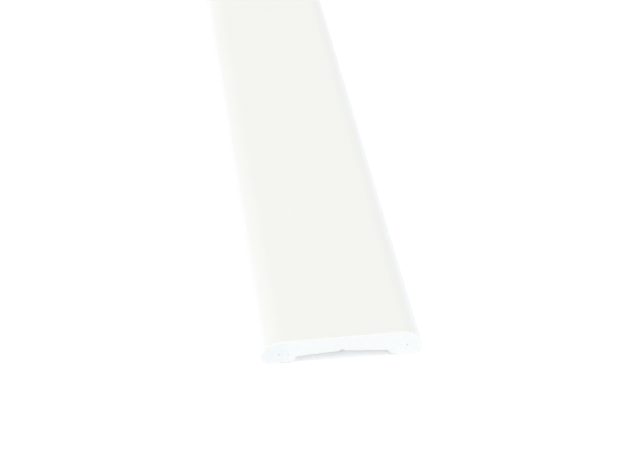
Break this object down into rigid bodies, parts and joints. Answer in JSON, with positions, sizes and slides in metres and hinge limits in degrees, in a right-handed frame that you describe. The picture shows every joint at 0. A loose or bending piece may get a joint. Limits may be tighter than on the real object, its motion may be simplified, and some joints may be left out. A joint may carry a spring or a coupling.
{
  "type": "architrave",
  "caption": "Flat architrave moulding in white foamed plastic, with rounded long edges and a back relieved between its feet, to frame a door or window.",
  "frame": {"origin": "middle of the back at mid-length, on the plane that the two feet stand on", "axes": "+X across the width towards the thicker outer edge, +Y along the length, +Z from the wall to the room"},
  "size_m": [0.06, 2.5, 0.0107],
  "materials": {
    "pvc": "satin"
  },
  "bodies": {
    "root": {"architrave": "pvc"}
  },
  "joints": []
}
